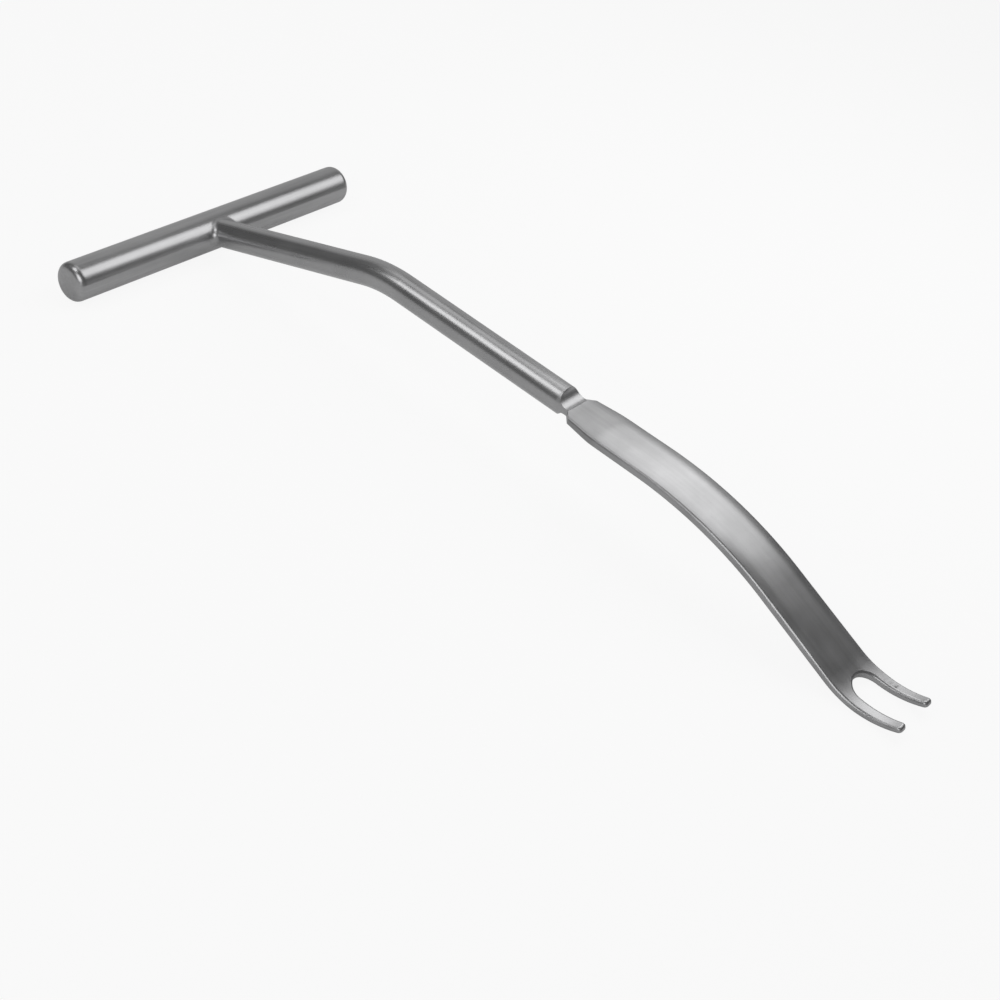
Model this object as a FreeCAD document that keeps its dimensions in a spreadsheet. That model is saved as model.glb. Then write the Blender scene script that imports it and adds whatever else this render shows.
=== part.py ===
import FreeCAD, Part
import math
import os
import Sketcher

# Glenoid retractor: a T-handle, a bent round shank and a curved blade with a two-prong fork.
# Sizes are in millimetres and degrees. Each sub-part is built in one of two frames:
# the bar frame has its origin on the handle bar's axis, with the bar along Y and the shank
# leaving along +X; the blade frame starts at the front end of the shank's bend, with +X along
# the shank's front run. The last step lays the whole instrument on its bar and prongs.

SIZES = {
    # handle bar
    "bar_diameter": 12.5,
    "bar_length": 116.0,
    "bar_end_round": 2.4,
    # shank
    "rod_diameter": 9.0,
    "rear_run": 67.5,
    "bend_radius": 45.5,
    "bend_angle": 19.4,
    "front_run": 62.0,
    "seat_height": 4.0,
    "rear_spigot_diameter": 6.0,
    "rear_spigot_length": 6.0,
    "front_spigot_diameter": 5.0,
    "front_spigot_length": 10.0,
    "spigot_clearance": 0.05,
    "spigot_end_gap": 0.4,
    # welds
    "handle_weld_radius": 2.4,
    "neck_groove_depth": 0.6,
    # neck of the blade, with its places measured forward from the butt joint
    "relief_land": 1.1,
    "relief_radius": 3.4,
    "tongue_top": 0.95,
    "tongue_bottom": 1.0,
    "tongue_width": 8.0,
    "root_length": 7.0,
    "shoulder_start": 4.9,
    "shoulder_end": 7.8,
    "taper_end": 16.0,
    "shoulder_width": 14.4,
    "neck_round": 0.8,
    "taper_round": 30.0,
    # blade, along its top line
    "blade_top": 1.2,
    "crown_radius": 105.0,
    "blade_straight": 33.1,
    "blade_bend_radius": 121.0,
    "blade_bend_angle": 23.2,
    "blade_slope_run": 27.4,
    "fork_curve_radius": 27.2,
    "fork_curve_angle": 48.0,
    "blade_rear_width": 16.8,
    "blade_front_width": 18.5,
    "blade_rear_thickness": 2.75,
    "blade_front_thickness": 2.45,
    "tip_thickness": 2.0,
    # fork
    "fork_gap": 10.1,
    "fork_depth": 14.0,
    "tip_gap": 10.9,
    "tip_width": 17.8,
    "fork_round": 60.0,
    # rounded edges of the blade
    "tip_corner_round": 1.2,
    "top_edge_round": 0.8,
    "under_edge_round": 0.6,
}

SPARE = 2.0     # how far a cutter runs past what it cuts
DOC = FreeCAD.newDocument("glenoid_retractor")


def make_sheet():
    """Put every driving size in a named cell of one sheet."""
    sheet = DOC.addObject("Spreadsheet::Sheet", "Sizes")
    for row, (alias, value) in enumerate(SIZES.items(), start=1):
        sheet.set(f"A{row}", alias)
        sheet.set(f"B{row}", str(value))
        sheet.setAlias(f"B{row}", alias)
    DOC.recompute()
    return sheet


SHEET = make_sheet()


def size(alias):
    """Read a driving size back from the sheet."""
    return float(SHEET.get(alias))


# Small helpers for bodies, sketches and features

def new_body(label):
    body = DOC.addObject("PartDesign::Body", label)
    body.Label = label
    return body


def new_sketch(body, name, role, lift=None):
    """Attach a sketch to one of the body's own origin planes, lifted along its normal if asked."""
    plane = next(f for f in body.Origin.OriginFeatures if f.Role == role)
    sketch = body.newObject("Sketcher::SketchObject", name)
    sketch.AttachmentSupport = [(plane, "")]
    sketch.MapMode = "FlatFace"
    if lift:
        sketch.setExpression("AttachmentOffset.Base.z", lift)
    return sketch


def bind(sketch, index, name, expression):
    """Name a dimension of a sketch and tie it to the sheet."""
    sketch.renameConstraint(index, name)
    sketch.setExpression(f"Constraints.{name}", expression)


def circle_sketch(body, name, role, diameter, lift=None):
    """A circle about the sketch's origin, its diameter tied to the sheet."""
    sketch = new_sketch(body, name, role, lift)
    start = FreeCAD.Vector(0, 0, 0)
    circle = sketch.addGeometry(Part.Circle(start, FreeCAD.Vector(0, 0, 1), 5.0), False)
    sketch.addConstraint(Sketcher.Constraint("Coincident", circle, 3, -1, 1))
    dimension = sketch.addConstraint(Sketcher.Constraint("Diameter", circle, 10.0))
    bind(sketch, dimension, "diameter", diameter)
    return sketch


def closed_sketch(body, name, role, curves, lift=None):
    """An outline of lines and arcs that are already worked out from the sheet's sizes."""
    sketch = new_sketch(body, name, role, lift)
    sketch.addGeometry(curves, False)
    return sketch


def feature(body, kind, name, profile, **properties):
    """Add a pad, pocket, pipe or revolution and check that it changed the body."""
    before = body.Tip.Shape.Volume if body.Tip else 0.0
    made = body.newObject(f"PartDesign::{kind}", name)
    made.Profile = profile
    for key, value in properties.items():
        if isinstance(value, str) and value.startswith("="):
            made.setExpression(key, value[1:])
        else:
            setattr(made, key, value)
    DOC.recompute()
    if abs(made.Shape.Volume - before) < 1e-3:
        raise RuntimeError(f"{body.Label}.{name} changes nothing")
    return made


def dress(body, kind, name, edges, property_name, alias):
    """Add a fillet or chamfer whose size is tied to the sheet."""
    base = body.Tip
    made = body.newObject(f"PartDesign::{kind}", name)
    made.Base = (base, edges)
    made.setExpression(property_name, f"Sizes.{alias}")
    DOC.recompute()
    return made


def edge_names(shape, test):
    return [f"Edge{i}" for i, edge in enumerate(shape.Edges, start=1) if test(edge)]


def ring_names(shape, radius, x_place):
    """Names of the circular edges of one radius that lie at one place along X."""
    def test(edge):
        if not isinstance(edge.Curve, Part.Circle):
            return False
        return abs(edge.Curve.Radius - radius) < 1e-4 and abs(edge.CenterOfMass.x - x_place) < 1e-3
    return edge_names(shape, test)


# Plane geometry: a path is a start point with straight runs and tangent arcs

def vector(x, y):
    return FreeCAD.Vector(x, y, 0)


def line(start, end):
    return Part.LineSegment(start, end)


def heading_vector(heading):
    """Unit vector of a heading, in degrees below the first axis."""
    return vector(math.cos(math.radians(heading)), -math.sin(math.radians(heading)))


def left_of(heading):
    """Unit vector square to a heading, on its upper side."""
    return vector(math.sin(math.radians(heading)), math.cos(math.radians(heading)))


def walk(start, runs, distance):
    """Point and heading after a distance. A run is (length, turn down in degrees)."""
    point = start
    heading = 0.0
    left = distance
    for length, turn in runs:
        part = min(left, length)
        turned = turn * part / length
        middle = heading_vector(heading + turned / 2)
        chord = part
        if turned:
            half = math.radians(abs(turned)) / 2
            chord = part * math.sin(half) / half
        point = point + middle * chord
        heading += turned
        left -= part
        if left <= 0:
            break
    return point, heading


def path_curves(start, runs, offset=0.0):
    """Lines and arcs along the runs, moved to the upper side by an offset."""
    curves = []
    done = 0.0
    for length, turn in runs:
        places = [walk(start, runs, done + length * share) for share in (0.0, 0.5, 1.0)]
        points = [point + left_of(heading) * offset for point, heading in places]
        curves.append(Part.Arc(*points) if turn else line(points[0], points[2]))
        done += length
    return curves


def tangent_arc(start, heading, end):
    """The arc that leaves a point on a heading and ends at a given point, with its last heading."""
    chord = end - start
    across = chord.dot(left_of(heading))
    along = chord.dot(heading_vector(heading))
    turn = -2 * math.atan2(across, along)
    radius = chord.Length / (2 * math.sin(abs(turn) / 2))
    length = radius * abs(turn)
    middle = start + heading_vector(heading + math.degrees(turn) / 4) * (
        2 * radius * math.sin(length / radius / 4))
    return Part.Arc(start, middle, end), heading + math.degrees(turn)


def rounded_line(corners, radii):
    """A chain of lines with a tangent arc of the given radius at each inner corner."""
    curves = []
    start = corners[0]
    for before, corner, after, radius in zip(corners, corners[1:], corners[2:], radii):
        into = (before - corner).normalize()
        out = (after - corner).normalize()
        half = into.getAngle(out) / 2
        reach = radius / math.tan(half)
        centre = corner + (into + out).normalize() * (radius / math.sin(half))
        first = corner + into * reach
        last = corner + out * reach
        middle = centre + (corner - centre).normalize() * radius
        curves += [line(start, first), Part.Arc(first, middle, last)]
        start = last
    curves.append(line(start, corners[-1]))
    return curves


def mirrored(point):
    return vector(point.x, -point.y)


# Handle bar: a solid round bar with rounded rims and a stepped socket for the shank

def make_handle_bar():
    body = new_body("handle_bar")
    section = circle_sketch(body, "BarSection", "XZ_Plane", "Sizes.bar_diameter")
    feature(body, "Pad", "Bar", section, Midplane=True, Length="=Sizes.bar_length")
    rims = edge_names(body.Tip.Shape, lambda edge: isinstance(edge.Curve, Part.Circle))
    dress(body, "Fillet", "RoundedRims", rims, "Radius", "bar_end_round")
    seat = circle_sketch(body, "SeatSection", "YZ_Plane",
                         "Sizes.rod_diameter + 2 * Sizes.spigot_clearance", "Sizes.seat_height")
    feature(body, "Pocket", "Seat", seat, Type="ThroughAll", Reversed=True)
    socket = circle_sketch(body, "SocketSection", "YZ_Plane",
                           "Sizes.rear_spigot_diameter + 2 * Sizes.spigot_clearance",
                           "Sizes.seat_height - Sizes.rear_spigot_length - Sizes.spigot_end_gap")
    feature(body, "Pocket", "Socket", socket, Type="ThroughAll", Reversed=True)
    return body


# Shank: a round rod with one bend, a turned spigot behind and a bored, bevelled front end

def shank_runs():
    bend = math.radians(size("bend_angle")) * size("bend_radius")
    return [(size("rear_run") - size("seat_height"), 0.0),
            (bend, size("bend_angle")),
            (size("front_run"), 0.0)]


def bend_end():
    """Placement of the blade frame in the bar frame."""
    rear, bend, front = shank_runs()
    point, heading = walk(vector(size("seat_height"), 0), [rear, bend], rear[0] + bend[0])
    turn = FreeCAD.Rotation(FreeCAD.Vector(0, 1, 0), heading)
    return FreeCAD.Placement(FreeCAD.Vector(point.x, 0, point.y), turn)


def shank_path(body):
    """The rod's axis: two straight runs with a tangent bend, tied to the sheet."""
    sketch = new_sketch(body, "RodAxis", "XZ_Plane")
    start = vector(size("seat_height"), 0)
    rear, bend, front = sketch.addGeometry(path_curves(start, shank_runs()), False)
    rules = [Sketcher.Constraint("Horizontal", rear),
             Sketcher.Constraint("PointOnObject", rear, 1, -1),
             Sketcher.Constraint("Tangent", rear, 2, bend, 2),
             Sketcher.Constraint("Tangent", bend, 1, front, 1)]
    sketch.addConstraint(rules)
    dimensions = [
        (Sketcher.Constraint("DistanceX", -1, 1, rear, 1, size("seat_height")),
         "seat", "Sizes.seat_height"),
        (Sketcher.Constraint("DistanceX", -1, 1, rear, 2, size("rear_run")),
         "rear_run", "Sizes.rear_run"),
        (Sketcher.Constraint("Radius", bend, size("bend_radius")),
         "bend_radius", "Sizes.bend_radius"),
        (Sketcher.Constraint("Distance", front, size("front_run")),
         "front_run", "Sizes.front_run"),
        (Sketcher.Constraint("Angle", front, math.radians(-size("bend_angle"))),
         "bend_angle", "-Sizes.bend_angle * 1 deg"),
    ]
    for rule, name, expression in dimensions:
        bind(sketch, sketch.addConstraint(rule), name, expression)
    return sketch


def make_shank():
    body = new_body("shank")
    axis = shank_path(body)
    section = circle_sketch(body, "RodSection", "YZ_Plane", "Sizes.rod_diameter",
                            "Sizes.seat_height")
    feature(body, "AdditivePipe", "Rod", section, Spine=(axis, ["Edge1", "Edge2", "Edge3"]))
    spigot = circle_sketch(body, "SpigotSection", "YZ_Plane", "Sizes.rear_spigot_diameter",
                           "Sizes.seat_height")
    feature(body, "Pad", "Spigot", spigot, Reversed=True, Length="=Sizes.rear_spigot_length")

    frame = bend_end()
    front = frame.multVec(FreeCAD.Vector(size("front_run"), 0, 0))
    rim = edge_names(body.Tip.Shape, lambda edge: (edge.CenterOfMass - front).Length < 1e-3)
    dress(body, "Chamfer", "WeldBevel", rim, "Size", "neck_groove_depth")

    radius = size("front_spigot_diameter") / 2 + size("spigot_clearance")
    depth = size("front_spigot_length") + size("spigot_end_gap")
    near = size("front_run") + SPARE
    far = size("front_run") - depth
    corners = [(far, 0), (near, 0), (near, radius), (far, radius)]
    points = []
    for x, z in corners:
        place = frame.multVec(FreeCAD.Vector(x, 0, z))
        points.append(vector(place.x, place.z))
    sides = [line(a, b) for a, b in zip(points, points[1:] + points[:1])]
    bore = closed_sketch(body, "BoreSection", "XZ_Plane", sides)
    bore.addGeometry(line(points[0], points[1]), True)
    feature(body, "Groove", "Bore", bore, ReferenceAxis=(bore, ["Axis0"]), Angle=360.0)
    return body


# Blade: its top line, thickness and plan outline are worked out once from the sheet

def blade_runs():
    """The blade's top line from the butt joint to the tips."""
    bend = math.radians(size("blade_bend_angle")) * size("blade_bend_radius")
    curl = math.radians(size("fork_curve_angle")) * size("fork_curve_radius")
    return [(size("blade_straight"), 0.0),
            (bend, size("blade_bend_angle")),
            (size("blade_slope_run"), 0.0),
            (curl, -size("fork_curve_angle"))]


def blade_start():
    return vector(size("front_run"), size("blade_top"))


def blade_length():
    return sum(length for length, turn in blade_runs())


def under_point(distance, thickness):
    """The point of the underside below a place on the top line."""
    point, heading = walk(blade_start(), blade_runs(), distance)
    return point - left_of(heading) * thickness


def thickness_at(distance):
    """Thickness along the middle, which falls evenly from the taper's end to the fork's root."""
    first = size("taper_end")
    last = blade_length() - size("fork_depth")
    share = (distance - first) / (last - first)
    rear = size("blade_rear_thickness")
    return rear + (size("blade_front_thickness") - rear) * share


def under_curves():
    """The underside from the taper's end to the tips, each curve tangent to the last."""
    straight, bend, slope, curl = [length for length, turn in blade_runs()]
    first = under_point(size("taper_end"), size("blade_rear_thickness"))
    second = under_point(straight, thickness_at(straight))
    direction = (second - first).normalize()
    heading = -math.degrees(math.atan2(direction.y, direction.x))
    third = under_point(straight + bend, thickness_at(straight + bend))
    bend_arc, heading = tangent_arc(second, heading, third)
    fourth = third + heading_vector(heading) * slope
    tip = under_point(blade_length(), size("tip_thickness"))
    curl_arc, heading = tangent_arc(fourth, heading, tip)
    return [line(first, second), bend_arc, line(third, fourth), curl_arc]


def slab_curves():
    """Side view of the blank: the exact underside, and a top that leaves room for the crown."""
    underside = under_curves()
    first = underside[0].StartPoint
    toward = (first - underside[0].EndPoint).normalize()
    rear_x = size("front_run") + size("root_length") / 2
    rear_low = first + toward * ((first.x - rear_x) / -toward.x)
    rear_high = vector(rear_x, size("blade_top") + SPARE)
    top = path_curves(blade_start(), blade_runs(), SPARE)
    top[0] = line(rear_high, top[0].EndPoint)
    tip, heading = walk(blade_start(), blade_runs(), blade_length())
    tip_high = tip + left_of(heading) * SPARE
    tip_low = underside[-1].EndPoint
    return top + [line(tip_high, tip_low)] + underside[::-1] + [
        line(first, rear_low), line(rear_low, rear_high)]


def plan_corners():
    """Half of the blade's plan outline, from the neck to past the tips."""
    joint = size("front_run")
    root, heading = walk(blade_start(), blade_runs(), blade_length() - size("fork_depth"))
    tip, heading = walk(blade_start(), blade_runs(), blade_length())
    past = tip.x + SPARE
    fall = (size("blade_front_width") - size("tip_width")) / 2
    tip_half = size("blade_front_width") / 2 - fall * (past - root.x) / (tip.x - root.x)
    return [vector(joint + size("root_length") / 2 - SPARE, size("tongue_width") / 2),
            vector(joint + size("shoulder_start"), size("tongue_width") / 2),
            vector(joint + size("shoulder_end"), size("shoulder_width") / 2),
            vector(joint + size("taper_end"), size("blade_rear_width") / 2),
            vector(root.x, size("blade_front_width") / 2),
            vector(past, tip_half)]


def half_plan(corners):
    """One side of the outline: rounded at neck, taper and fork, and crisp at the shoulder."""
    flare = rounded_line(corners[:3], [size("neck_round")])
    return flare + rounded_line(corners[2:], [size("taper_round"), size("fork_round")])


def plan_curves():
    """The whole plan outline: the two sides and the two ends."""
    corners = plan_corners()
    mirror = [mirrored(corner) for corner in corners]
    return half_plan(corners) + half_plan(mirror) + [line(corners[0], mirror[0]),
                                                     line(corners[-1], mirror[-1])]


def slab_width():
    """Width of the blank that the plan outline is cut from."""
    return max(2 * corner.y for corner in plan_corners()) + 2 * SPARE


def frame_curves(corners):
    """A rectangle well outside the blank."""
    rear = corners[0].x - SPARE
    front = corners[-1].x + SPARE
    side = slab_width() / 2 + SPARE
    points = [vector(rear, -side), vector(front, -side), vector(front, side), vector(rear, side)]
    return [line(a, b) for a, b in zip(points, points[1:] + points[:1])]


def fork_root():
    """The round root of the gap between the prongs, in plan."""
    root, heading = walk(blade_start(), blade_runs(), blade_length() - size("fork_depth"))
    return Part.Circle(vector(root.x, 0), FreeCAD.Vector(0, 0, 1), size("fork_gap") / 2)


def fork_mouth():
    """The rest of the gap: its sides leave the root on a tangent and open towards the tips."""
    circle = fork_root()
    tip, heading = walk(blade_start(), blade_runs(), blade_length())
    reach = tip.x - circle.Center.x
    half = size("tip_gap") / 2
    opening = math.acos(circle.Radius / math.hypot(half, reach)) - math.atan2(reach, half)
    inner = circle.value(math.pi / 2 + opening)
    past = tip.x + SPARE
    outer = vector(past, inner.y + (past - inner.x) * math.tan(opening))
    points = [inner, mirrored(inner), mirrored(outer), outer]
    return [line(a, b) for a, b in zip(points, points[1:] + points[:1])]


def relief_centres():
    """Centres of the two wheel-ground hollows between the round root and the tongue."""
    radius = size("relief_radius")
    upper = size("tongue_top") + radius
    lower = size("tongue_bottom") + radius
    rise = size("rod_diameter") / 2 - upper
    start = size("front_run") + size("relief_land")
    centre_x = start + math.sqrt(radius ** 2 - rise ** 2)
    return vector(centre_x, upper), vector(centre_x, -lower)


def under_relief_curves():
    """The lower hollow, which runs out along the tongue's underside to the blade's own."""
    upper, centre = relief_centres()
    radius = size("relief_radius")
    top = centre + vector(0, radius)
    blade = under_curves()[0].StartPoint
    past = blade + (blade - top).normalize() * SPARE
    deep = centre.y - radius
    left = centre - vector(radius, 0)
    diagonal = vector(-math.sqrt(0.5), math.sqrt(0.5)) * radius
    return [Part.Arc(left, centre + diagonal, top),
            line(top, past),
            line(past, vector(past.x, deep)),
            line(vector(past.x, deep), vector(left.x, deep)),
            line(vector(left.x, deep), left)]


def crown_curves():
    """Everything above the crowned top, seen along the blade."""
    radius = size("crown_radius")
    top = size("blade_top")
    side = size("blade_front_width") / 2 + SPARE
    fall = radius - math.sqrt(radius ** 2 - side ** 2)
    high = top + size("rod_diameter") / 2 + SPARE
    left = vector(-side, top - fall)
    right = vector(side, top - fall)
    return [Part.Arc(left, vector(0, top), right),
            line(right, vector(side, high)),
            line(vector(side, high), vector(-side, high)),
            line(vector(-side, high), left)]


def crown_path(body):
    """The top line from the hollow's lowest place to just past the tips."""
    upper, lower = relief_centres()
    straight, bend, slope, curl = blade_runs()
    skipped = upper.x - size("front_run")
    runs = [(straight[0] - skipped, 0.0), bend, slope, curl, (SPARE, 0.0)]
    start = vector(upper.x, size("blade_top"))
    return closed_sketch(body, "TopLine", "XZ_Plane", path_curves(start, runs))


def face_height(face, point):
    """How far a face's outward normal points up at a point on it."""
    u, v = face.Surface.parameter(point)
    return face.normalAt(u, v).z


def rim_edges(shape, side, from_x):
    """Edges between the blade's top (side 1) or underside (side -1) and its upright walls."""
    def test(edge):
        middle = edge.valueAt((edge.FirstParameter + edge.LastParameter) / 2)
        if middle.x < from_x:
            return False
        heights = [side * face_height(face, middle)
                   for face in shape.ancestorsOfType(edge, Part.Face)]
        return len(heights) == 2 and max(heights) > 0.7 and abs(min(heights)) < 0.6
    return edge_names(shape, test)


def tip_corner_edges(shape):
    """The upright corners of the prongs' end faces."""
    tip, heading = walk(blade_start(), blade_runs(), blade_length())
    along = heading_vector(heading)
    origin = FreeCAD.Vector(tip.x, 0, tip.y)
    forward = FreeCAD.Vector(along.x, 0, along.y)

    def test(edge):
        ends = [vertex.Point for vertex in edge.Vertexes]
        if len(ends) != 2 or abs(ends[0].y - ends[1].y) > 0.5:
            return False
        return max(abs((end - origin).dot(forward)) for end in ends) < 1e-3
    return edge_names(shape, test)


def make_blade():
    body = new_body("blade")
    width = slab_width()
    slab = closed_sketch(body, "SideOutline", "XZ_Plane", slab_curves())
    feature(body, "Pad", "Slab", slab, Midplane=True, Length=width)
    outline = closed_sketch(body, "PlanOutline", "XY_Plane",
                            frame_curves(plan_corners()) + plan_curves())
    feature(body, "Pocket", "Outline", outline, Type="ThroughAll", Midplane=True)
    hole = closed_sketch(body, "ForkRootCircle", "XY_Plane", [fork_root()])
    feature(body, "Pocket", "ForkRoot", hole, Type="ThroughAll", Midplane=True)
    mouth = closed_sketch(body, "ForkMouth", "XY_Plane", fork_mouth())
    feature(body, "Pocket", "Fork", mouth, Type="ThroughAll", Midplane=True)

    root = circle_sketch(body, "RootSection", "YZ_Plane", "Sizes.rod_diameter",
                         "Sizes.front_run")
    feature(body, "Pad", "Root", root, Length="=Sizes.root_length")
    crown = closed_sketch(body, "CrownSection", "YZ_Plane", crown_curves(),
                          f"{relief_centres()[0].x}")
    spine = crown_path(body)
    count = len(spine.Geometry)
    feature(body, "SubtractivePipe", "Crown", crown,
            Spine=(spine, [f"Edge{i}" for i in range(1, count + 1)]))
    upper, lower = relief_centres()
    hollow = new_sketch(body, "UpperHollow", "XZ_Plane")
    normal = FreeCAD.Vector(0, 0, 1)
    hollow.addGeometry(Part.Circle(upper, normal, size("relief_radius")), False)
    feature(body, "Pocket", "TopRelief", hollow, Midplane=True, Length=width)
    relief = closed_sketch(body, "LowerHollow", "XZ_Plane", under_relief_curves())
    feature(body, "Pocket", "UnderRelief", relief, Midplane=True, Length=width)

    corners = tip_corner_edges(body.Tip.Shape)
    dress(body, "Fillet", "TipCorners", corners, "Radius", "tip_corner_round")
    flare = size("front_run") + size("shoulder_end")
    top = rim_edges(body.Tip.Shape, 1, flare)
    dress(body, "Fillet", "TopEdges", top, "Radius", "top_edge_round")
    under = rim_edges(body.Tip.Shape, -1, flare)
    dress(body, "Fillet", "UnderEdges", under, "Radius", "under_edge_round")

    rim = ring_names(body.Tip.Shape, size("rod_diameter") / 2, size("front_run"))
    dress(body, "Chamfer", "WeldBevel", rim, "Size", "neck_groove_depth")
    spigot = circle_sketch(body, "SpigotSection", "YZ_Plane", "Sizes.front_spigot_diameter",
                           "Sizes.front_run")
    feature(body, "Pad", "Spigot", spigot, Reversed=True, Length="=Sizes.front_spigot_length")
    return body


# Welds

def make_handle_weld():
    """The filler metal of a rolling-ball fillet between the bar and the rod."""
    bar = DOC.addObject("Part::Cylinder", "WeldBarForm")
    bar.setExpression("Radius", "Sizes.bar_diameter / 2")
    bar.setExpression("Height", "2 * Sizes.bar_diameter")
    bar.setExpression("Placement.Base.y", "Sizes.bar_diameter")
    bar.Placement.Rotation = FreeCAD.Rotation(FreeCAD.Vector(1, 0, 0), 90)
    rod = DOC.addObject("Part::Cylinder", "WeldRodForm")
    rod.setExpression("Radius", "Sizes.rod_diameter / 2")
    rod.setExpression("Height", "Sizes.bar_diameter")
    rod.Placement.Rotation = FreeCAD.Rotation(FreeCAD.Vector(0, 1, 0), 90)
    forms = DOC.addObject("Part::Fuse", "WeldForms")
    forms.Base = bar
    forms.Tool = rod
    forms.Refine = True
    DOC.recompute()

    def saddle(edge):
        box = edge.BoundBox
        return box.XMin > 0 and box.XLength > 0.1 and box.XMax < 0.75 * size("bar_diameter")
    seam = edge_names(forms.Shape, saddle)
    radius = size("handle_weld_radius")
    bead = DOC.addObject("Part::Fillet", "WeldBead")
    bead.Base = forms
    bead.Edges = [(int(name[4:]), radius, radius) for name in seam]
    weld = DOC.addObject("Part::Cut", "handle_weld")
    weld.Label = "handle_weld"
    weld.Base = bead
    weld.Tool = forms
    DOC.recompute()
    return weld


def make_neck_weld():
    """Filler metal in the V groove of the butt joint, ground flush with the rod."""
    body = new_body("neck_weld")
    sketch = new_sketch(body, "GrooveSection", "XZ_Plane")
    joint = size("front_run")
    outer = size("rod_diameter") / 2
    depth = size("neck_groove_depth")
    points = [vector(joint - depth, outer), vector(joint, outer - depth),
              vector(joint + depth, outer)]
    sides = sketch.addGeometry([line(a, b) for a, b in zip(points, points[1:] + points[:1])], False)
    for first, second in zip(sides, sides[1:] + sides[:1]):
        sketch.addConstraint(Sketcher.Constraint("Coincident", first, 2, second, 1))
    left, right, flush = sides
    sketch.addConstraint(Sketcher.Constraint("Horizontal", flush))
    dimensions = [
        (Sketcher.Constraint("DistanceX", -1, 1, left, 2, joint), "joint", "Sizes.front_run"),
        (Sketcher.Constraint("DistanceY", -1, 1, flush, 1, outer), "outer",
         "Sizes.rod_diameter / 2"),
        (Sketcher.Constraint("DistanceY", left, 2, flush, 1, depth), "depth",
         "Sizes.neck_groove_depth"),
        (Sketcher.Constraint("DistanceX", left, 1, left, 2, depth), "rear_half",
         "Sizes.neck_groove_depth"),
        (Sketcher.Constraint("DistanceX", left, 2, right, 2, depth), "front_half",
         "Sizes.neck_groove_depth"),
    ]
    for rule, name, expression in dimensions:
        bind(sketch, sketch.addConstraint(rule), name, expression)
    feature(body, "Revolution", "Ring", sketch, ReferenceAxis=(sketch, ["H_Axis"]), Angle=360.0)
    return body


# Rest: the ground line touches the bar and the underside of the prongs

def ground_heading():
    """Heading of the ground in the bar frame, in degrees below the shank's rear run."""
    bar_radius = size("bar_diameter") / 2
    frame = bend_end()
    curl = under_curves()[-1].toShape().Curve
    centre = frame.multVec(FreeCAD.Vector(curl.Center.x, 0, curl.Center.y))
    reach = math.hypot(centre.x, centre.z)
    slope = math.atan2(centre.z, centre.x)
    return math.degrees(math.asin((curl.Radius - bar_radius) / reach) - slope)


def lay_down(bar_parts, blade_parts):
    """Turn everything to rest, then put the origin under the middle of its box."""
    tilt = FreeCAD.Rotation(FreeCAD.Vector(0, 1, 0), -ground_heading())
    rest = FreeCAD.Placement(FreeCAD.Vector(0, 0, 0), tilt)
    for body in bar_parts:
        body.Placement = rest
    for body in blade_parts:
        body.Placement = rest.multiply(bend_end())
    DOC.recompute()
    box = Part.makeCompound([body.Shape for body in bar_parts + blade_parts]).optimalBoundingBox()
    shift = FreeCAD.Vector(-(box.XMin + box.XMax) / 2, -(box.YMin + box.YMax) / 2, -box.ZMin)
    for body in bar_parts + blade_parts:
        body.Placement.Base = body.Placement.Base + shift
    DOC.recompute()
    print("box", [round(v, 3) for v in (box.XLength, box.YLength, box.ZLength)])
    print("shift", [round(v, 4) for v in shift], "ground heading", round(ground_heading(), 4))


def check_and_write(bodies):
    for item in DOC.Objects:
        if "Invalid" in item.State or "Error" in item.State:
            raise RuntimeError(f"{item.Name} failed: {item.State}")
    for body in bodies:
        if body.Shape.isNull() or not body.Shape.isValid():
            raise RuntimeError(f"{body.Label} has no valid shape")
    os.makedirs("parts", exist_ok=True)
    for body in bodies:
        body.Shape.exportStep(f"parts/{body.Label}.step")
        print(body.Label, len(body.Shape.Solids), "solid,", round(body.Shape.Volume, 2), "mm3")


handle_bar = make_handle_bar()
shank = make_shank()
handle_weld = make_handle_weld()
blade = make_blade()
neck_weld = make_neck_weld()
lay_down([handle_bar, shank, handle_weld], [blade, neck_weld])
check_and_write([handle_bar, shank, blade, handle_weld, neck_weld])
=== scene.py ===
# %% [markdown]
# Glenoid retractor, satin steel
#
# This surgical hand instrument is welded and polished from stainless steel: a cross bar, a bent
# round shank, a forged blade that ends in a two-prong fork, and two welds. The five solids come
# packed in their true shape, so nothing is modelled here. What is left is all that makes steel
# look like steel: its finish, what it reflects, and the light. Lengths are in metres.

# %% Load the frame
import math

import bpy
from mathutils import Matrix, Vector

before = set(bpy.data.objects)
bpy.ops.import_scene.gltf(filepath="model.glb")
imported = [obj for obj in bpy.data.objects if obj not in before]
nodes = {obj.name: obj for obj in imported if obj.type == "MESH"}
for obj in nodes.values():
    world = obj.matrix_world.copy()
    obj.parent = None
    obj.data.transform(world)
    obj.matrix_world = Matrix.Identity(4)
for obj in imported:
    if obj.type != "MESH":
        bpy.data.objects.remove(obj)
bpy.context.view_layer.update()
print("nodes", sorted(nodes))

# %% [markdown]
# Smooth shading
#
# The bar, the shank and every rounded edge are curved, but their meshes are flat triangles. The
# shapes are not to be changed, so no modifier rounds them off. Smooth shading only blends the
# normals across each edge, and only up to a small angle. The crisp edges, such as the rims of the
# hollows that are ground into the neck, stay crisp.

# %% Shade the parts
CREASE_ANGLE = math.radians(25)

for name, node in nodes.items():
    bpy.context.view_layer.objects.active = node
    node.select_set(True)
    bpy.ops.object.shade_smooth_by_angle(angle=CREASE_ANGLE)
    node.select_set(False)
    print(name, len(node.data.polygons), "faces")

# %% [markdown]
# The polished surface
#
# Seen close, the steel has fine lines from the polishing belt, a broad cloudy unevenness, and a
# few pits and nicks. All the parts share this, so it is one group with named sockets, built once
# and placed in each material. It takes a point in the part's own coordinates and a stretch for
# each axis, which is small along the lines and large across them.

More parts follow.
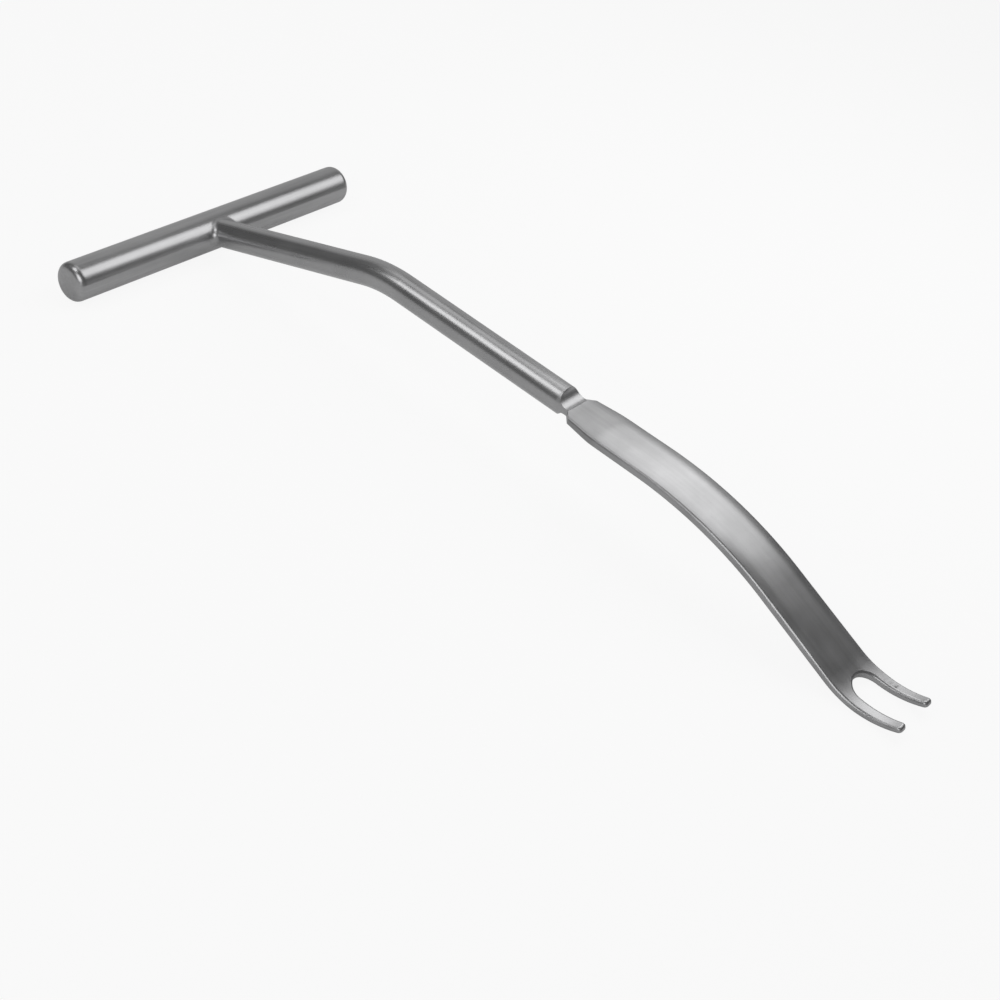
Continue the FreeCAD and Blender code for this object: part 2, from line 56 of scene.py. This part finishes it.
# %% Sockets of the pattern
PATTERN = bpy.data.node_groups.new("Polished steel pattern", "ShaderNodeTree")
for name in ("Point", "Stretch"):
    PATTERN.interface.new_socket(name, in_out="INPUT", socket_type="NodeSocketVector")
for name in ("Lines", "Clouds", "Pits"):
    PATTERN.interface.new_socket(name, in_out="OUTPUT", socket_type="NodeSocketFloat")
print("sockets", [item.name for item in PATTERN.interface.items_tree])

# %% [markdown]
# Polishing lines
#
# Noise that is stretched far along one axis turns into lines. A single noise looks too even, so a
# fine one and a coarse one are averaged. Three helpers keep the node trees short to write. A
# place is a column and a row in the node editor, and has no effect on the look.

# %% Lines of the pattern
COLUMN_WIDTH = 220
ROW_HEIGHT = 200
FINE_SCALE = 1.0        # noise scales, on the stretched point
COARSE_SCALE = 0.23
LINE_DETAIL = 2.0


def new_node(tree, kind, place, **values):
    """Add a node to a tree at a grid place, with plain attributes set."""
    made = tree.nodes.new(kind)
    made.location = (place[0] * COLUMN_WIDTH, -place[1] * ROW_HEIGHT)
    for key, value in values.items():
        setattr(made, key, value)
    return made


def math_node(tree, operation, values, place, clamp=False):
    """A math node on sockets or numbers."""
    made = new_node(tree, "ShaderNodeMath", place, operation=operation, use_clamp=clamp)
    for socket, value in zip(made.inputs, values):
        if isinstance(value, (int, float)):
            socket.default_value = value
        else:
            tree.links.new(value, socket)
    return made.outputs[0]


def noise_node(tree, point, scale, detail, place):
    """A noise value at a point, about 0.5 on average."""
    made = new_node(tree, "ShaderNodeTexNoise", place, noise_dimensions="3D")
    made.inputs["Scale"].default_value = scale
    made.inputs["Detail"].default_value = detail
    tree.links.new(point, made.inputs["Vector"])
    return made.outputs["Fac"]


inside = new_node(PATTERN, "NodeGroupInput", (0, 0))
outside = new_node(PATTERN, "NodeGroupOutput", (5, 0))
stretched = new_node(PATTERN, "ShaderNodeVectorMath", (1, 0), operation="MULTIPLY")
PATTERN.links.new(inside.outputs["Point"], stretched.inputs[0])
PATTERN.links.new(inside.outputs["Stretch"], stretched.inputs[1])
fine = noise_node(PATTERN, stretched.outputs[0], FINE_SCALE, LINE_DETAIL, (2, 0))
coarse = noise_node(PATTERN, stretched.outputs[0], COARSE_SCALE, LINE_DETAIL, (2, 1))
both = math_node(PATTERN, "ADD", (fine, coarse), (3, 0))
lines = math_node(PATTERN, "MULTIPLY", (both, 0.5), (4, 0))
PATTERN.links.new(lines, outside.inputs["Lines"])
print("lines are noise at scales", FINE_SCALE, "and", COARSE_SCALE)

# %% [markdown]
# Clouds and pits
#
# The clouds are a broad noise with no stretch. The pits are a very fine noise that is cut off
# near its top, so that only rare specks of it are left.

# %% Clouds and pits of the pattern
CLOUD_SCALE = 90.0
CLOUD_DETAIL = 3.0
PIT_SCALE = 2600.0
PIT_DETAIL = 1.0
PIT_RARITY = 0.7        # the noise value where a pit begins
PIT_EDGE = 6.0          # how fast it gets to its full depth

clouds = noise_node(PATTERN, inside.outputs["Point"], CLOUD_SCALE, CLOUD_DETAIL, (2, 2))
speckle = noise_node(PATTERN, inside.outputs["Point"], PIT_SCALE, PIT_DETAIL, (2, 3))
rare = math_node(PATTERN, "SUBTRACT", (speckle, PIT_RARITY), (3, 3))
pits = math_node(PATTERN, "MULTIPLY", (rare, PIT_EDGE), (4, 3), clamp=True)
PATTERN.links.new(clouds, outside.inputs["Clouds"])
PATTERN.links.new(pits, outside.inputs["Pits"])
print("the pattern has", len(PATTERN.nodes), "nodes")

# %% [markdown]
# What the pattern changes
#
# An even gray metal looks like plastic. So the pattern varies three things a little: the tone of
# the steel, its roughness, and the height that the bump reads. Each has a function of its own,
# which returns the socket that holds the result.

# %% Tone, roughness and height
CLOUD_SPREAD = (0.3, 0.7)       # the clouds' noise from darkest to lightest
LINE_SPREAD = (0.35, 0.65)      # and the lines', which are averaged and so vary less
LINE_TONES = (0.90, 1.06)
PIT_DARKNESS = 0.25
LINE_ROUGHNESS = 0.16
CLOUD_ROUGHNESS = 0.06
PIT_DEPTH = 0.15                # as a share of the lines' height


def range_node(tree, value, spread, results, place, kind="LINEAR"):
    """A value brought from one spread to another."""
    made = new_node(tree, "ShaderNodeMapRange", place, interpolation_type=kind)
    tree.links.new(value, made.inputs["Value"])
    made.inputs["From Min"].default_value = spread[0]
    made.inputs["From Max"].default_value = spread[1]
    made.inputs["To Min"].default_value = results[0]
    made.inputs["To Max"].default_value = results[1]
    return made.outputs["Result"]


def steel_tone(tree, pattern, cloud_share):
    """How light the steel is, near 1: darker in clouds and pits, uneven along the lines."""
    by_clouds = range_node(tree, pattern["Clouds"], CLOUD_SPREAD, (1.0 - cloud_share, 1.0), (2, 0))
    by_lines = range_node(tree, pattern["Lines"], LINE_SPREAD, LINE_TONES, (2, 1))
    by_pits = math_node(tree, "MULTIPLY", (pattern["Pits"], PIT_DARKNESS), (3, 2))
    pitted = math_node(tree, "SUBTRACT", (by_lines, by_pits), (3, 1))
    return math_node(tree, "MULTIPLY", (by_clouds, pitted), (4, 0))


def steel_roughness(tree, pattern, roughness):
    """The roughness, which the lines move both ways and the clouds raise."""
    by_lines = math_node(tree, "MULTIPLY", (pattern["Lines"], LINE_ROUGHNESS), (3, 3))
    centred = math_node(tree, "ADD", (by_lines, roughness - LINE_ROUGHNESS / 2), (4, 3))
    by_clouds = math_node(tree, "MULTIPLY", (pattern["Clouds"], CLOUD_ROUGHNESS), (4, 4))
    return math_node(tree, "ADD", (centred, by_clouds), (5, 3))


def steel_height(tree, pattern):
    """The height of the lines, with the pits sunk into them."""
    sunk = math_node(tree, "MULTIPLY", (pattern["Pits"], PIT_DEPTH), (3, 5))
    return math_node(tree, "SUBTRACT", (pattern["Lines"], sunk), (4, 5))


print("the lines change the tone between", LINE_TONES[0], "and", LINE_TONES[1])

# %% [markdown]
# The steels
#
# All parts are the same stainless steel, finished in different ways. The bar, the shank and the
# blade are polished lengthwise, and the blade is left the dullest. The weld at the bar is dressed
# by hand, so its lines run every way. The weld at the neck is ground flush with the shank and
# polished with it, so it shares the shank's steel.
#
# The base colour of a metal is the tint of what it mirrors. So the tone is mixed from black to
# one gray, and the mix goes into the base colour. The three nodes that the blade's marks link to
# later are given names.

# %% Steel materials
BLACK = (0.0, 0.0, 0.0, 1.0)
GRAY = (0.45, 0.45, 0.455, 1.0)
SLOW = 40.0             # pattern stretch along the polishing lines
FAST = 1300.0           # and across them
BROAD = 650.0           # and across the blade's, which are wider
EVERY_WAY = 900.0


def steel(name, roughness, stretch, line_depth, cloud_share):
    """Satin steel whose tone, roughness and height vary with the polishing pattern."""
    material = bpy.data.materials.new(name)
    material.use_nodes = True
    tree = material.node_tree
    tree.nodes.clear()
    output = new_node(tree, "ShaderNodeOutputMaterial", (7, 0))
    surface = new_node(tree, "ShaderNodeBsdfPrincipled", (6, 0))
    tree.links.new(surface.outputs["BSDF"], output.inputs["Surface"])
    surface.inputs["Metallic"].default_value = 1.0

    place = new_node(tree, "ShaderNodeTexCoord", (0, 0), name="place")
    group = new_node(tree, "ShaderNodeGroup", (1, 0), node_tree=PATTERN)
    group.inputs["Stretch"].default_value = stretch
    tree.links.new(place.outputs["Object"], group.inputs["Point"])

    tint = new_node(tree, "ShaderNodeMix", (5, 0), name="tint", data_type="RGBA")
    tint.inputs["A"].default_value = BLACK
    tint.inputs["B"].default_value = GRAY
    tint.clamp_factor = False
    tree.links.new(steel_tone(tree, group.outputs, cloud_share), tint.inputs["Factor"])
    tree.links.new(tint.outputs["Result"], surface.inputs["Base Color"])
    tree.links.new(steel_roughness(tree, group.outputs, roughness), surface.inputs["Roughness"])

    bump = new_node(tree, "ShaderNodeBump", (5, 2), name="line bump")
    bump.inputs["Distance"].default_value = line_depth
    tree.links.new(steel_height(tree, group.outputs), bump.inputs["Height"])
    tree.links.new(bump.outputs["Normal"], surface.inputs["Normal"])
    return material


STEELS = {
    "handle_bar": steel("Lengthwise polished steel", roughness=0.28, stretch=(FAST, SLOW, FAST),
                        line_depth=1.5e-6, cloud_share=0.10),
    "shank": steel("Polished rod steel", roughness=0.26, stretch=(SLOW, FAST, SLOW),
                   line_depth=1.5e-6, cloud_share=0.10),
    "blade": steel("Satin blade steel", roughness=0.34, stretch=(SLOW, BROAD, SLOW),
                   line_depth=1e-6, cloud_share=0.18),
    "handle_weld": steel("Hand-dressed weld metal", roughness=0.30, stretch=(EVERY_WAY,) * 3,
                         line_depth=2e-6, cloud_share=0.20),
}
STEELS["neck_weld"] = STEELS["shank"]

for name, node in nodes.items():
    node.data.materials.clear()
    node.data.materials.append(STEELS[name])
    print(name, "is", STEELS[name].name)

# %% [markdown]
# The marks of the blade
#
# The blade has two marks that the other parts lack. Both depend only on where a point is along
# and across the blade, and both end where the fork begins. So they are worked out from the part's
# own coordinates, and are added to the blade's steel alone.

# %% Along and across the blade
FORK_FADE = (0.118, 0.098)      # where the marks are gone, and where they are whole

blade = STEELS["blade"].node_tree
split = new_node(blade, "ShaderNodeSeparateXYZ", (0, 7))
blade.links.new(blade.nodes["place"].outputs["Object"], split.inputs[0])
along = split.outputs["X"]
across = split.outputs["Y"]
before_fork = range_node(blade, along, FORK_FADE, (0.0, 1.0), (1, 7), "SMOOTHSTEP")
print("the marks fade out between", FORK_FADE[1], "and", FORK_FADE[0])

# %% [markdown]
# Rolled edges
#
# Belt polishing rounds the upper face over towards both long edges, so the strips along them
# mirror another part of the room. The solid's own crown is shallow, so a bump adds to the turn.
# Its height falls off with the square of the distance from where the roll begins.

# %% Rolled edges of the blade
ROLL_START = 0.0038     # metres off the blade's middle where its face starts to fall off
ROLL_CURVE = 28.0       # how fast it falls

side = math_node(blade, "ABSOLUTE", (across,), (2, 7))
past_start = math_node(blade, "SUBTRACT", (side, ROLL_START), (3, 7))
beyond = math_node(blade, "MAXIMUM", (past_start, 0.0), (4, 7))
square = math_node(blade, "MULTIPLY", (beyond, beyond), (5, 7))
curve = math_node(blade, "MULTIPLY", (square, -ROLL_CURVE), (6, 7))
fall = math_node(blade, "MULTIPLY", (curve, before_fork), (7, 7))
roll_bump = new_node(blade, "ShaderNodeBump", (8, 7))
roll_bump.inputs["Distance"].default_value = 1.0
blade.links.new(fall, roll_bump.inputs["Height"])
blade.links.new(roll_bump.outputs["Normal"], blade.nodes["line bump"].inputs["Normal"])
print("the face rolls over from", ROLL_START, "m off its middle")

# %% [markdown]
# Satin field and painted shade along the far edge
#
# The middle of the face is a lighter satin field. It begins with a rounded end just past the neck,
# with a smoother, darker patch of polish behind it. A strip along the far edge is darkened the same
# way, and that strip is painted shade: the dark reflection of the rolled far edge, painted into the
# colour. One distance gives that outline: the distance from a single point, counted only backwards
# and towards the far edge.

# %% Satin field and painted far-edge shade of the blade
NECK_FADE = (0.014, 0.018)      # the darker patch begins between these places
FIELD_END = (0.032, 0.0012)     # middle of the field's rounded end, along and across
FIELD_REACH = (0.0030, 0.0058)  # how far from there the field is whole, and where it is gone
PATCH_AND_SHADE_CONTRAST = 0.17           # how much darker the steel is outside it, as polish behind the neck and as painted shade along the far edge

to_back = math_node(blade, "SUBTRACT", (FIELD_END[0], along), (1, 9))
behind = math_node(blade, "MAXIMUM", (to_back, 0.0), (2, 9))
to_side = math_node(blade, "SUBTRACT", (across, FIELD_END[1]), (1, 10))
beside = math_node(blade, "MAXIMUM", (to_side, 0.0), (2, 10))
behind_square = math_node(blade, "MULTIPLY", (behind, behind), (3, 9))
beside_square = math_node(blade, "MULTIPLY", (beside, beside), (3, 10))
squares = math_node(blade, "ADD", (behind_square, beside_square), (4, 9))
distance = math_node(blade, "SQRT", (squares,), (5, 9))
patch_and_painted_shade = range_node(blade, distance, FIELD_REACH, (0.0, PATCH_AND_SHADE_CONTRAST), (6, 9), "SMOOTHSTEP")
past_neck = range_node(blade, along, NECK_FADE, (0.0, 1.0), (6, 10), "SMOOTHSTEP")
on_face = math_node(blade, "MULTIPLY", (past_neck, before_fork), (7, 10))
darker = math_node(blade, "MULTIPLY", (patch_and_painted_shade, on_face), (8, 9))
field = math_node(blade, "SUBTRACT", (1.0, darker), (9, 9))
# The blade's tone is darkened here by the real patch behind the neck and by painted shade along the
# far edge.
plain_tone = blade.nodes["tint"].inputs["Factor"].links[0].from_socket
tone_with_painted_shade = math_node(blade, "MULTIPLY", (plain_tone, field), (4, 1))
blade.links.new(tone_with_painted_shade, blade.nodes["tint"].inputs["Factor"])
print("the steel is", PATCH_AND_SHADE_CONTRAST, "darker outside the field")

# %% [markdown]
# The white floor
#
# The photograph's background is pure white. A floor lit up to white would flood the steel with
# light, so this one is pale paper at a plain level, and Light Path mixes in a white glow for the
# rays that look at it directly. The paper that is left in the mix keeps a faint shadow. Bare
# metal shows whatever lies around it, so the steel sees a share of the same white.

# %% Floor
WHITE = (1.0, 1.0, 1.0, 1.0)
PAPER = (0.8, 0.8, 0.8, 1.0)
PAPER_ROUGHNESS = 0.9
PAPER_GLOSS = 0.1
FLOOR_HALF = 30.0
FLOOR_DROP = 0.0002     # the floor lies just under the lowest point of the parts
FLOOR_GLOW = 0.9        # how much of the floor is plain white to the camera
STEEL_SHARE = 0.2       # and how much of it is to the steel

bpy.ops.mesh.primitive_plane_add(size=2 * FLOOR_HALF, location=(0.0, 0.0, -FLOOR_DROP))
floor = bpy.context.object
floor.name = "floor"


def seen_directly(tree, camera_share, steel_share):
    """How much a ray sees the plain white: one share for the camera, one for steel and glass."""
    ray = new_node(tree, "ShaderNodeLightPath", (0, 3)).outputs
    mirrored = math_node(tree, "MAXIMUM", (ray["Is Glossy Ray"], ray["Is Transmission Ray"]), (1, 4))
    by_steel = math_node(tree, "MULTIPLY", (mirrored, steel_share), (2, 4))
    by_camera = math_node(tree, "MULTIPLY", (ray["Is Camera Ray"], camera_share), (2, 3))
    return math_node(tree, "MAXIMUM", (by_camera, by_steel), (3, 3))


def mix_shaders(tree, factor, first, second, place):
    """A mix of two shaders by a factor."""
    made = new_node(tree, "ShaderNodeMixShader", place)
    for socket, value in zip(made.inputs, (factor, first, second)):
        tree.links.new(value, socket)
    return made.outputs["Shader"]


def paper_floor():
    """Pale paper, lit by the lamps, with a white glow for the rays that see it directly."""
    material = bpy.data.materials.new("White paper floor")
    material.use_nodes = True
    tree = material.node_tree
    surface = tree.nodes["Principled BSDF"]
    surface.inputs["Base Color"].default_value = PAPER
    surface.inputs["Roughness"].default_value = PAPER_ROUGHNESS
    surface.inputs["Specular IOR Level"].default_value = PAPER_GLOSS
    glow = new_node(tree, "ShaderNodeEmission", (0, 5))
    glow.inputs["Color"].default_value = WHITE
    glow.inputs["Strength"].default_value = 1.0
    seen = seen_directly(tree, FLOOR_GLOW, STEEL_SHARE)
    mixed = mix_shaders(tree, seen, surface.outputs["BSDF"], glow.outputs["Emission"], (4, 0))
    tree.links.new(mixed, tree.nodes["Material Output"].inputs["Surface"])
    return material


floor.data.materials.append(paper_floor())
print("the floor is", FLOOR_HALF * 2, "m wide")

# %% [markdown]
# The dim room
#
# Steel needs dark things to mirror as well as bright ones, or it looks like white plastic. So the
# world is a dim room, which gives the steel its dark bands, and only the camera sees it as white.
# A white sheet stands in that room at the back left, which is what the top of the bar mirrors. It
# is no object, only a mask over the directions of the world, and only a mirror sees it.

# %% World
ROOM_LEVEL = 0.16
SHEET_SIDE = Vector((-0.66, 0.70, 0.28))
SHEET_EDGES = (0.72, 0.95)      # cosines of the angles at which the sheet ends and is whole
SHEET_LEVEL = 0.45


def white_sheet(tree):
    """How white a direction is: the sheet's level towards the sheet, and 0 away from it."""
    direction = new_node(tree, "ShaderNodeTexCoord", (0, 1))
    towards = new_node(tree, "ShaderNodeVectorMath", (1, 1), operation="DOT_PRODUCT")
    towards.inputs[1].default_value = SHEET_SIDE.normalized()
    tree.links.new(direction.outputs["Generated"], towards.inputs[0])
    return range_node(tree, towards.outputs["Value"], SHEET_EDGES, (0.0, SHEET_LEVEL), (2, 1),
                      "SMOOTHSTEP")


def background(tree, level, place):
    """A plain white background at a level."""
    made = new_node(tree, "ShaderNodeBackground", place)
    made.inputs["Color"].default_value = WHITE
    made.inputs["Strength"].default_value = level
    return made.outputs["Background"]


def studio_world():
    """The dim room, with white where a ray sees the background directly."""
    world = bpy.data.worlds.new("Studio")
    world.use_nodes = True
    tree = world.node_tree
    tree.nodes.clear()
    output = new_node(tree, "ShaderNodeOutputWorld", (6, 0))
    seen = seen_directly(tree, 1.0, white_sheet(tree))
    room = background(tree, ROOM_LEVEL, (4, 1))
    backdrop = background(tree, 1.0, (4, 2))
    tree.links.new(mix_shaders(tree, seen, room, backdrop, (5, 0)), output.inputs["Surface"])
    return world


bpy.context.scene.world = studio_world()
print("the room's level is", ROOM_LEVEL, "and the sheet's", SHEET_LEVEL)

# %% [markdown]
# Lights
#
# Bare steel shows its lamps, so each soft box stands where the photograph's highlights are
# mirrored. The back box gives the bright band along the bar and the pale upper blade. The top
# box, high at the left, draws the narrow highlight along the shank. The loft box, as high but
# further back, widens that into a soft gradient, and a large weak box from the camera's side
# opens the near walls.

# %% Soft boxes
MIDDLE = (0.0, 0.0, 0.0)            # under the middle of the instrument
SHANK_MIDDLE = (-0.05, 0.0, 0.0)    # under the middle of its shank


def soft_box(name, place, aim, size, power):
    """A rectangular area light at a place, turned to a point, hidden from the camera."""
    data = bpy.data.lights.new(name, "AREA")
    data.shape = "RECTANGLE"
    data.size = size[0]
    data.size_y = size[1]
    data.energy = power
    lamp = bpy.data.objects.new(name, data)
    bpy.context.scene.collection.objects.link(lamp)
    lamp.location = place
    lamp.rotation_euler = (Vector(aim) - Vector(place)).to_track_quat("-Z", "Y").to_euler()
    lamp.visible_camera = False
    print(name, "at", place, "with", power, "W")


soft_box("back_box", place=(0.022, 0.19, 0.27), aim=MIDDLE, size=(0.245, 0.32), power=0.41)
soft_box("top_box", place=(-0.28, -0.33, 0.55), aim=SHANK_MIDDLE, size=(0.25, 0.36), power=0.62)
soft_box("loft_box", place=(-0.28, 0.08, 0.60), aim=SHANK_MIDDLE, size=(0.30, 0.40), power=0.27)
soft_box("front_box", place=(0.3, -0.9, 0.5), aim=MIDDLE, size=(0.8, 0.6), power=3.2)

# %% [markdown]
# Camera
#
# The camera is where the photograph's outlines put it: about half a metre away, 31 degrees round
# from the side and 38 degrees above the floor, with a roll of 15 degrees. The lens and the sensor
# are in millimetres.

# %% Camera
CAMERA_PLACE = Vector((0.2126, -0.35803, 0.30799))
CAMERA_AIM = Vector((-0.00147, 0.0, -0.01824))
CAMERA_ROLL = math.radians(14.694)
LENS = 63.5
SENSOR = 36.0

camera_data = bpy.data.cameras.new("camera")
camera_data.lens = LENS
camera_data.sensor_width = SENSOR
camera = bpy.data.objects.new("camera", camera_data)
bpy.context.scene.collection.objects.link(camera)
look = (CAMERA_AIM - CAMERA_PLACE).to_track_quat("-Z", "Y").to_matrix()
roll = Matrix.Rotation(CAMERA_ROLL, 3, "Z")
camera.matrix_world = Matrix.Translation(CAMERA_PLACE) @ (look @ roll).to_4x4()
bpy.context.scene.camera = camera
bpy.context.scene.view_settings.view_transform = "Standard"
print("camera at", [round(value, 3) for value in CAMERA_PLACE], "lens", LENS)
